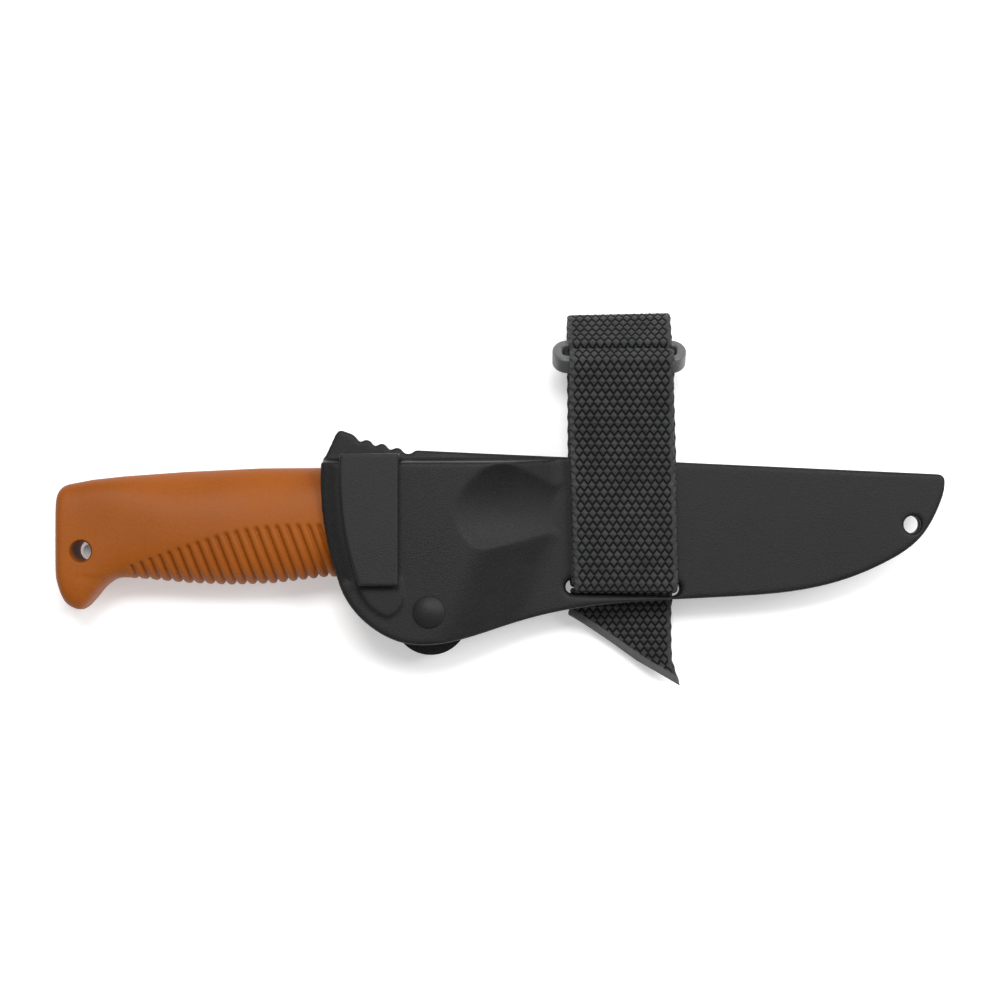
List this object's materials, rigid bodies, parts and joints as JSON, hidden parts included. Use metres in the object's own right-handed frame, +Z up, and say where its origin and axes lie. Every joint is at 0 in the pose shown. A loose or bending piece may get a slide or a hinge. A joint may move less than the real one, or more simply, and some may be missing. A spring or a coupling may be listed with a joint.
{
  "type": "rigging knife",
  "caption": "Fixed-blade rigging knife with an orange ribbed grip in a black moulded belt sheath with a lever lock, belt clip, webbing strap and ring.",
  "frame": {"origin": "centre of the bounding box on the plane the knife lies on, belt side up", "axes": "+X from the handle to the sheath's tip, +Y to the blade's spine, +Z up to the belt side of the sheath"},
  "size_m": [0.2566, 0.1086, 0.0308],
  "materials": {
    "blade_steel": "satin",
    "core_plastic": "matte",
    "orange_grip": "satin rubber",
    "sheath_plastic": "fine pebble grain",
    "clip_plastic": "fine pebble grain",
    "rivet_black": "satin black",
    "washer_steel": "satin",
    "webbing": "woven",
    "thread": "twisted thread",
    "ring_plastic": "satin"
  },
  "bodies": {
    "sheath": {"sheath_back_shell": "sheath_plastic", "sheath_front_shell": "sheath_plastic", "seam_pins": "core_plastic", "pivot_rivet": "rivet_black", "rivet_cap": "rivet_black", "rivet_washer": "washer_steel", "strap_webbing": "webbing", "strap_stitching": "thread"},
    "knife": {"blade": "blade_steel", "handle_core": "core_plastic", "handle_grip": "orange_grip"},
    "lever": {"latch_lever": "clip_plastic"},
    "clip": {"belt_clip": "clip_plastic"},
    "ring": {"strap_ring": "ring_plastic"}
  },
  "joints": [
    {"name": "knife_draw", "type": "slide", "parent": "sheath", "child": "knife", "axis": [-1, 0, 0], "range_m": [0, 0.185]},
    {"name": "latch_swing", "type": "hinge", "parent": "sheath", "child": "lever", "pos_m": [-0.0204, -0.03209, 0.00755], "axis": [0, 0, 1], "range_deg": [-31, 0]},
    {"name": "clip_flex", "type": "hinge", "parent": "sheath", "child": "clip", "pos_m": [-0.0373, 0.01171, 0.0196], "axis": [-1, 0, 0], "range_deg": [0, 8], "stiffness_Nm_per_rad": 2.5},
    {"name": "ring_tilt", "type": "hinge", "parent": "sheath", "child": "ring", "pos_m": [0.0342, 0.04349, 0.01387], "axis": [1, 0, 0], "range_deg": [-2, 2]}
  ]
}
